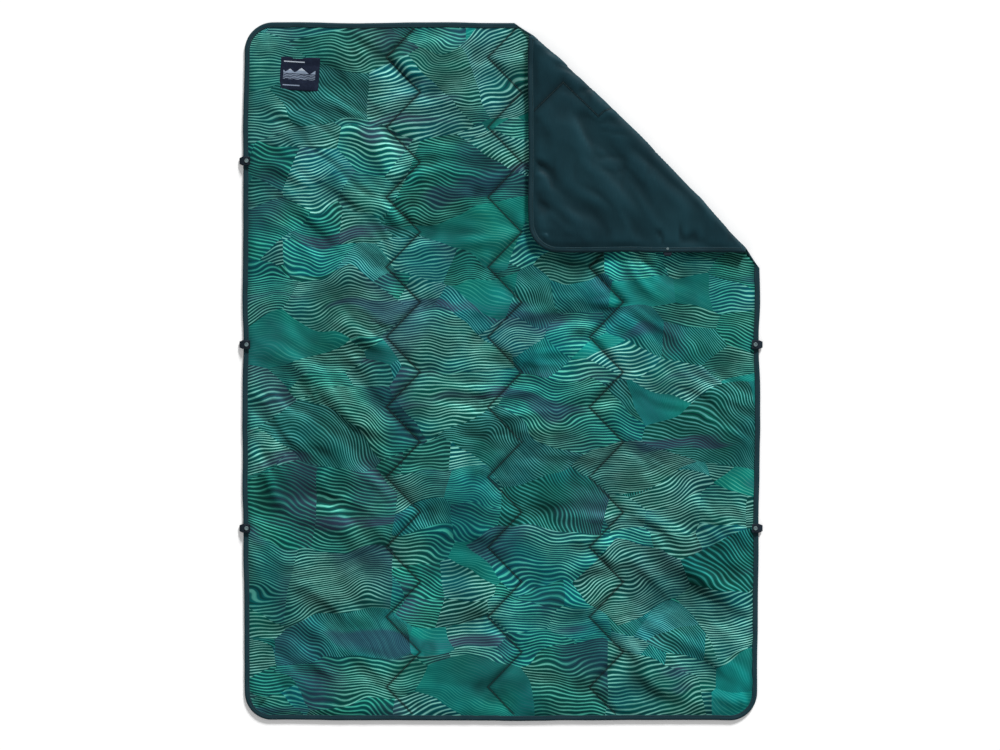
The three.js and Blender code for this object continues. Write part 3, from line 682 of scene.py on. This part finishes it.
def place(points, grid_points):
    """Flat places (x, y) on a draped fabric, by interpolation between its grid points."""
    u, v = LINES
    x, y = np.clip(points[:, 0], u[0], u[-1]), np.clip(points[:, 1], v[0], v[-1])
    i = np.clip(np.searchsorted(u, x) - 1, 0, len(u) - 2)
    j = np.clip(np.searchsorted(v, y) - 1, 0, len(v) - 2)
    tx, ty = ((x - u[i]) / (u[i + 1] - u[i]))[:, None], ((y - v[j]) / (v[j + 1] - v[j]))[:, None]
    low = grid_points[j, i] * (1 - tx) + grid_points[j, i + 1] * tx
    high = grid_points[j + 1, i] * (1 - tx) + grid_points[j + 1, i + 1] * tx
    return low * (1 - ty) + high * ty


def above_mean(height, rounds=14):
    """How far each grid point stands above the mean round it; more rounds take in more ground."""
    mean = height
    for _ in range(rounds):
        m = np.pad(mean, 1, mode="edge")
        mean = (m[1:-1, 1:-1] + m[:-2, 1:-1] + m[2:, 1:-1] + m[1:-1, :-2] + m[1:-1, 2:]) / 5
    return height - mean


def squares(index):
    """The four corners of each square of a grid of vertex numbers."""
    return np.stack([index[:-1, :-1], index[:-1, 1:], index[1:, 1:], index[1:, :-1]],
                    2).reshape(-1, 4)


def build_quilt():
    """The quilted layers: the printed face and the plain underside, closed along the edge."""
    ny, nx = GRID_U.shape
    count = nx * ny
    index = np.arange(count).reshape(ny, nx)
    rim = np.zeros((ny, nx), bool)
    rim[[0, -1]] = rim[:, [0, -1]] = True
    under = np.full((ny, nx), -1)
    under[~rim] = count + np.arange((~rim).sum())
    under[rim] = index[rim]

    def triangles(a, height, lowest):
        """Splits each square along the diagonal that follows the seams and valleys."""
        q = squares(a)
        h = height.ravel()[squares(index)]
        rising = (h[:, 0] + h[:, 2] < h[:, 1] + h[:, 3]) == lowest
        first = np.where(rising[:, None], q[:, [0, 1, 2]], q[:, [0, 1, 3]])
        second = np.where(rising[:, None], q[:, [0, 2, 3]], q[:, [1, 2, 3]])
        return np.concatenate([first, second])

    faces = np.concatenate([triangles(index, FACE[..., 2], True),
                            triangles(under, BACK[..., 2], False)[:, ::-1]])
    points = np.concatenate([FACE.reshape(-1, 3), BACK[~rim]])
    flat = np.stack([GRID_U, GRID_V, np.zeros_like(GRID_U)], 2)
    flat = np.concatenate([flat.reshape(-1, 3), flat[~rim]])
    points[:, 0], points[:, 1] = rounded(points[:, 0], points[:, 1])
    flat[:, 0], flat[:, 1] = rounded(flat[:, 0], flat[:, 1])
    quilt = mesh_object("quilt", points, faces, (PRINT, PLAIN))
    half = len(faces) // 2
    which = np.r_[np.zeros(half, np.int32), np.ones(half, np.int32)]
    quilt.data.polygons.foreach_set("material_index", which)
    vector_attribute(quilt, "flat", flat)
    # distances to the quilting and heights above the mean round, from which the materials paint
    # shade at the stitching and in hollows and light on ridges
    under_tape = edge_distance(GRID_U, GRID_V) < BINDING_WIDTH
    far = seam_distance(GRID_U, GRID_V) + 20 * MM * under_tape
    far = np.concatenate([far.ravel(), far[~rim]])
    high = np.concatenate([above_mean(FACE[..., 2]).ravel(), -above_mean(BACK[..., 2])[~rim]])
    vector_attribute(quilt, "seam", np.stack([far, high, 0 * far], 1))
    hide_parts("back_fabric", "insulation", "face_fabric", "corner_back_fabric",
                "corner_insulation", "corner_face_fabric", "fold_back_fabric",
                "fold_insulation", "fold_face_fabric")
    turn_over(quilt)


def turn_over(obj):
    """Bends obj, drawn flat, between the blanket and its corner, then folds it over."""
    def shape(p):
        x, y, z = p.astype(float).T
        dx, dy = waver(x, y)
        return fold(np.stack([x + dx, y + dy, z + sag(x, y)], 1))
    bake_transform(obj)
    move(obj, shape)


build_quilt()


# ---- Stitches ----
def stitch_mesh(centres, directions, length, radius):
    """Short rounded stitches, one at each centre, that lie level."""
    ups = np.tile([0.0, 0.0, 1.0], (len(centres), 1))
    sides, rings = 5, [(-0.5, 0.25), (-0.38, 0.9), (0, 1.0), (0.38, 0.9), (0.5, 0.25)]
    angle = np.arange(sides) * 2 * math.pi / sides
    across = np.cross(directions, ups)
    points = []
    for along, share in rings:
        ring = (centres[:, None] + directions[:, None] * along * length
                + across[:, None] * (np.cos(angle)[None, :, None] * radius * share)
                + ups[:, None] * (np.sin(angle)[None, :, None] * radius * share))
        points.append(ring)
    points = np.stack(points, 1)  # stitch, ring, side
    n, r = len(centres), len(rings)
    base = (np.arange(n) * r * sides)[:, None, None]
    i = np.arange(r - 1)[None, :, None] * sides
    k = np.arange(sides)[None, None, :]
    m = (k + 1) % sides
    quads = np.stack([base + i + k, base + i + sides + k, base + i + sides + m, base + i + m], 3)
    return points.reshape(-1, 3), quads.reshape(-1, 4)


def two_seams(name, first, second):
    """One object from two sets of stitches, on the face and on the back."""
    points = np.concatenate([first[0], second[0]])
    quads = np.concatenate([first[1], second[1] + len(first[0])])
    return mesh_object(name, points, quads, (THREAD,))


def stitch_line(path, spacing):
    """Centres and directions of stitches along an open path of flat points."""
    d = np.r_[0, np.cumsum(np.hypot(*np.diff(path, axis=0).T))]
    at = np.arange(spacing / 2, d[-1], spacing)
    ahead, behind = at + spacing * 0.3, at - spacing * 0.3
    point = lambda s: np.stack([np.interp(s, d, path[:, 0]), np.interp(s, d, path[:, 1])], 1)
    along = point(ahead) - point(behind)
    along /= np.linalg.norm(along, axis=1)[:, None]
    return point(at), along


def lifted(xy, z):
    """Flat places at height z."""
    return np.concatenate([xy, np.full((len(xy), 1), float(z))], 1)


def quilting(name, middle):
    """One row of quilting: a seam of stitches on the face, and one on the back."""
    margin = BINDING_WIDTH + 1 * MM
    turns = np.arange(FIRST_TURN + HALF_PERIOD, -HALF_L - HALF_PERIOD, -HALF_PERIOD)
    y = np.unique(np.clip(turns, -HALF_L + margin, HALF_L - margin))[::-1]
    path = np.stack([middle + turn(y), y], 1)
    centre, along = stitch_line(path, QUILT_STITCH["spacing"])
    parts = []
    for cloth, lift in ((FACE, 0.25 * MM), (BACK, -0.25 * MM)):
        at = place(centre, cloth)
        at[:, 2] += lift
        parts.append(stitch_mesh(at, lifted(along, 0), QUILT_STITCH["length"],
                                 QUILT_STITCH["radius"]))
    obj = two_seams(f"quilting_{name}", *parts)
    nodes = [f"quilt_thread_{name}"] + (["corner_quilt_thread_right"] if name == "right" else [])
    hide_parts(*nodes)
    turn_over(obj)


for row_name, row_x in ROWS.items():
    quilting(row_name, row_x)


# ---- Binding ----
def outline(inset, spacing):
    """The blanket's outline, a rounded rectangle, anticlockwise from the bottom middle."""
    r = CORNER_RADIUS
    w, h = HALF_W - r, HALF_L - r
    arcs = [(w, -h, -90), (w, h, 0), (-w, h, 90), (-w, -h, 180)]
    points, outs = [[0.0, -HALF_L]], [[0.0, -1.0]]
    for cx, cy, a0 in arcs:
        for a in np.radians(np.linspace(a0, a0 + 90, 25)):
            points.append([cx + r * math.cos(a), cy + r * math.sin(a)])
            outs.append([math.cos(a), math.sin(a)])
    points, outs = np.array(points + [points[0]]), np.array(outs + [outs[0]])
    d = np.r_[0, np.cumsum(np.hypot(*np.diff(points, axis=0).T))]
    s = np.linspace(0, d[-1], int(d[-1] / spacing), endpoint=False)
    p = np.stack([np.interp(s, d, points[:, k]) for k in (0, 1)], 1)
    o = np.stack([np.interp(s, d, outs[:, k]) for k in (0, 1)], 1)
    o /= np.linalg.norm(o, axis=1)[:, None]
    return p - o * inset, o, s


def build_binding():
    """Ribbed tape folded over the edge, and a row of stitches along each of its lips."""
    p, o, s = outline(0, 5 * MM)
    # the tape's section: distance in from the edge, and height
    mid = (BINDING_LOW + BINDING_TOP) / 2
    top, low, w = BINDING_TOP, BINDING_LOW, BINDING_WIDTH
    outer = [(w, top - 0.9 * MM), (w - 1.2 * MM, top - 0.2 * MM), (w - 3 * MM, top - 0.55 * MM),
             (w - 6 * MM, top), (4 * MM, top + 0.1 * MM), (1.6 * MM, top - 0.7 * MM),
             (0.4 * MM, top - 1.7 * MM), (0.0, mid)]
    outer += [(d, 2 * mid - z) for d, z in outer[-2::-1]]
    inner = [(w, low + 1.5 * MM), (3 * MM, low + 1.0 * MM), (1.4 * MM, mid),
             (3 * MM, top - 1.0 * MM), (w, top - 1.5 * MM)]
    section = np.array(outer + inner)
    n = len(section)
    rings = np.zeros((len(p), n, 3))
    pucker = 0.35 * MM * np.sin(s / (11 * MM) + 2 * noise(s, 0 * s, 0.08, 4))
    pucker = pucker * (1 + noise(s, 0 * s, 0.05, 5))
    wander = 1.0 * MM * noise(s, 0 * s, 0.09, 6, 2)
    for k, (d, z) in enumerate(section):
        lip = smooth(d, 5 * MM, w)
        side = 1 if z > mid else -1
        rings[:, k, :2] = p - o * (d + (wander * lip * 0.8 + wander * (1 - lip) * 0.5))[:, None]
        rings[:, k, 2] = z + side * pucker * (0.25 + lip)
    points, quads = sweep(rings, closed_path=True)
    obj = mesh_object("binding_tape", points, quads[:, ::-1], (BINDING,))
    tape = np.stack(np.broadcast_arrays(s[:, None], section[None, :, 0], 0.0), 2)
    vector_attribute(obj, "tape", tape.reshape(-1, 3))
    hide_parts("binding", "corner_binding", "fold_binding_top", "fold_binding_side")
    turn_over(obj)
    centre, out, _ = outline(BINDING_WIDTH - 2.6 * MM, BINDING_STITCH["spacing"])
    along = lifted(np.stack([-out[:, 1], out[:, 0]], 1), 0)
    parts = [stitch_mesh(lifted(centre, z), along, BINDING_STITCH["length"],
                         BINDING_STITCH["radius"]) for z in (top - 0.35 * MM, low + 0.35 * MM)]
    turn_over(two_seams("binding_seam", *parts))


build_binding()


# ---- Label ----
def build_label():
    """A thin patch that follows the quilt under it, with a stitched hem."""
    low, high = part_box("label")
    cx, cy = (low.x + high.x) / 2, (low.y + high.y) / 2
    w, h = LABEL_WIDTH, LABEL_HEIGHT
    us, vs = np.linspace(-w / 2, w / 2, 44), np.linspace(-h / 2, h / 2, 38)
    u, v = np.meshgrid(us, vs)
    x = cx + u * math.cos(LABEL_TILT) + v * math.sin(LABEL_TILT)
    y = cy - u * math.sin(LABEL_TILT) + v * math.cos(LABEL_TILT)
    under = place(np.stack([x.ravel(), y.ravel()], 1), FACE)[:, 2].reshape(u.shape)
    rim = np.minimum(w / 2 - np.abs(u), h / 2 - np.abs(v))
    under = under.mean() * 0.4 + under * 0.6
    top = under + 1.1 * MM - 0.8 * MM * np.exp(-rim / (1.5 * MM))
    top = top + 0.35 * MM * noise(u, v, 0.03, 8)
    hem = 0.25 * MM * np.exp(-(((rim - 4 * MM) / (0.8 * MM)) ** 2))
    upper = np.stack([x, y, top - hem], 2)
    lower = np.stack([x, y, top - 1.4 * MM], 2)
    ny, nx = u.shape
    a = np.arange(nx * ny).reshape(ny, nx)
    b = a + nx * ny
    wall = lambda i, j: np.stack([i[:-1], j[:-1], j[1:], i[1:]], 1)
    quads = np.concatenate([squares(a), squares(b)[:, ::-1], wall(a[0], b[0]),
                            wall(a[-1], b[-1])[:, ::-1], wall(a[:, 0], b[:, 0])[:, ::-1],
                            wall(a[:, -1], b[:, -1])])
    points = np.concatenate([upper.reshape(-1, 3), lower.reshape(-1, 3)])
    obj = mesh_object("woven_label", points, quads, (LABEL,))
    uv = np.stack([u, v, 0 * u], 2).reshape(-1, 3)
    vector_attribute(obj, "label", np.concatenate([uv, uv]))
    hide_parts("label")
    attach(obj, "blanket")


build_label()


# ---- Loops and press studs ----
def loop_strap(name):
    """A loop's webbing: out of the binding, round its tip and back over the edge."""
    side, y0 = loop_frame(name)
    # the middle of the tape, in mm: distance out past the edge, and height
    centre = [(-9.0, 4.2), (-3.0, 4.2), (1.0, 3.7), (5.0, 2.75), (8.2, 2.5), (9.7, 3.1),
              (9.9, 4.3), (8.6, 5.7), (5.5, 7.6), (2.0, 9.6), (-1.5, 11.2), (-4.5, 11.9),
              (-8.0, 12.05), (-13.0, 12.05), (-18.5, 12.0)]
    path = np.array(centre) * MM
    along = np.gradient(path, axis=0)
    along /= np.linalg.norm(along, axis=1)[:, None]
    normal = np.stack([-along[:, 1], along[:, 0]], 1)
    run = np.r_[0, np.cumsum(np.hypot(*np.diff(path, axis=0).T))]
    share = np.linspace(-1, 1, 13)
    thick = TAPE_HALF_THICKNESS * (1 - 0.35 * np.abs(share) ** 6)
    half = np.interp(path[:, 0], [0, 10 * MM], [TAPE_HALF_WIDTH, TAPE_HALF_TIP])
    half[-1] -= 1.2 * MM
    across = share * half[:, None]
    up = path[:, None] + normal[:, None] * thick[:, None]
    down = path[:, None] - normal[:, None] * thick[:, None]
    upper = np.stack([up[..., 0], across, up[..., 1]], 2)
    lower = np.stack([down[..., 0], across, down[..., 1]], 2)
    rings = np.concatenate([upper, lower[:, ::-1]], 1)
    n = rings.shape[1]
    points, quads = sweep(rings)
    ends = []
    for base in (0, (len(rings) - 1) * n):
        for k in range(len(share) - 1):
            q = [base + k, base + k + 1, base + n - 2 - k, base + n - 1 - k]
            ends.append(q if base == 0 else q[::-1])
    quads = np.concatenate([quads, np.array(ends)])
    tape = np.stack(np.broadcast_arrays(run[:, None], rings[0][:, 1][None], 0.0), 2)
    points = np.stack([side * (HALF_W + points[:, 0]), y0 + points[:, 1], points[:, 2]], 1)
    quads = quads[:, ::-1] if side > 0 else quads
    obj = mesh_object(f"strap_{name}", points, quads, (WEBBING,))
    vector_attribute(obj, "tape", tape.reshape(-1, 3))
    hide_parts(f"loop_base_{name}", f"loop_flap_{name}")
    # the tape is first laid out straight along its run; then it takes its shape
    straight = np.zeros_like(points)
    straight[:, 0] = np.repeat(run, n)
    move(obj, lambda p: straight)
    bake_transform(obj)
    move(obj, lambda p: points)
    if name == "corner":
        move(obj, fold)


def lathe(name, profile, x, y, material, segments=32):
    """A turned piece from (radius, height) pairs in mm that start and end on the axis."""
    profile = np.array(profile) * MM
    angle = np.arange(segments) * 2 * math.pi / segments
    r = np.maximum(profile[:, 0], 0.02 * MM)
    rings = np.stack([x + r[:, None] * np.cos(angle), y + r[:, None] * np.sin(angle),
                      np.broadcast_to(profile[:, 1][:, None], (len(r), segments))], 2)
    points, quads = sweep(rings)
    return mesh_object(name, points, quads[:, ::-1], (material,))


def loop_cap(name):
    """A cap with a rolled rim and a stem."""
    side, y0 = loop_frame(name)
    profile = [(0, 10.7), (1.2, 10.7), (1.2, 12.7), (5.0, 12.7), (5.45, 12.95), (5.5, 13.5),
               (5.2, 14.0), (4.6, 14.25), (4.0, 14.2), (3.6, 13.95), (3.2, 13.85), (1.5, 13.8),
               (0, 13.78)]
    obj = lathe(f"cap_{name}", profile, side * (HALF_W - SNAP_INSET), y0, NYLON)
    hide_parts(f"snap_cap_{name}")
    if name == "corner":
        move(obj, fold)
    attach(obj, f"loop_{name}")


for loop_name in LOOPS:
    loop_strap(loop_name)
    loop_cap(loop_name)

for node_name, node in frame["nodes"].items():
    if node_name.startswith("snap_") and not node.hide_render:
        node.data.materials.clear()
        node.data.materials.append(NYLON)


# ---- Floor, light and camera ----
FLOOR_HALF_SIZE, FLOOR_Z = 12.0, -0.4 * MM
WORLD_STRENGTH = 0.27
LAMPS = {"key": ((2.0, 5.4, 2.4), 12, 4.9), "fill": ((-4.0, -3.0, 4.0), 60, 0.35)}
LENS, SENSOR = 85, 36  # mm
VIEW_WIDTH = 2.655  # what the picture takes in, at the height of the quilt


def floor_material():
    """Plain and pale, glowing faintly so that it renders white."""
    g = Graph("floor", roughness=0.9, specular=0.1)
    at = g.add("ShaderNodeTexCoord").outputs["Object"]
    g.shader.inputs["Emission Color"].default_value = (1, 1, 1, 1)
    g.shader.inputs["Emission Strength"].default_value = 0.14
    return g.done(g.mix(g.noise(at, 2.0, 2.0), srgb(250, 250, 250), srgb(253, 253, 253)))


def build_stage():
    """A plain floor, a white world and two suns, each so many degrees wide."""
    s, z = FLOOR_HALF_SIZE, FLOOR_Z
    points = [(-s, -s, z), (s, -s, z), (s, s, z), (-s, s, z)]
    mesh = bpy.data.meshes.new("floor")
    mesh.from_pydata(points, [], [(0, 1, 2, 3)])
    mesh.materials.append(floor_material())
    floor = bpy.data.objects.new("floor", mesh)
    bpy.context.scene.collection.objects.link(floor)

    world = bpy.data.worlds.new("studio")
    bpy.context.scene.world = world
    world.use_nodes = True
    world.node_tree.nodes["Background"].inputs["Color"].default_value = (1, 1, 1, 1)
    world.node_tree.nodes["Background"].inputs["Strength"].default_value = WORLD_STRENGTH

    for light_name, (spot, angle, strength) in LAMPS.items():
        light = bpy.data.lights.new(light_name, "SUN")
        light.angle, light.energy = math.radians(angle), strength
        obj = bpy.data.objects.new(light_name, light)
        obj.location = spot
        obj.rotation_mode = "QUATERNION"
        obj.rotation_quaternion = (-obj.location).to_track_quat("-Z", "Y")
        bpy.context.scene.collection.objects.link(obj)


def build_camera():
    """Looks straight down."""
    data = bpy.data.cameras.new("camera")
    data.lens, data.sensor_width = LENS, SENSOR
    distance = VIEW_WIDTH * data.lens / data.sensor_width
    camera = bpy.data.objects.new("camera", data)
    camera.location = (-2.7 * MM, -9.3 * MM, LOFT + distance)
    bpy.context.scene.collection.objects.link(camera)
    bpy.context.scene.camera = camera


build_stage()
build_camera()
bpy.context.scene.view_settings.view_transform = "Standard"
bpy.context.scene.view_settings.look = "None"
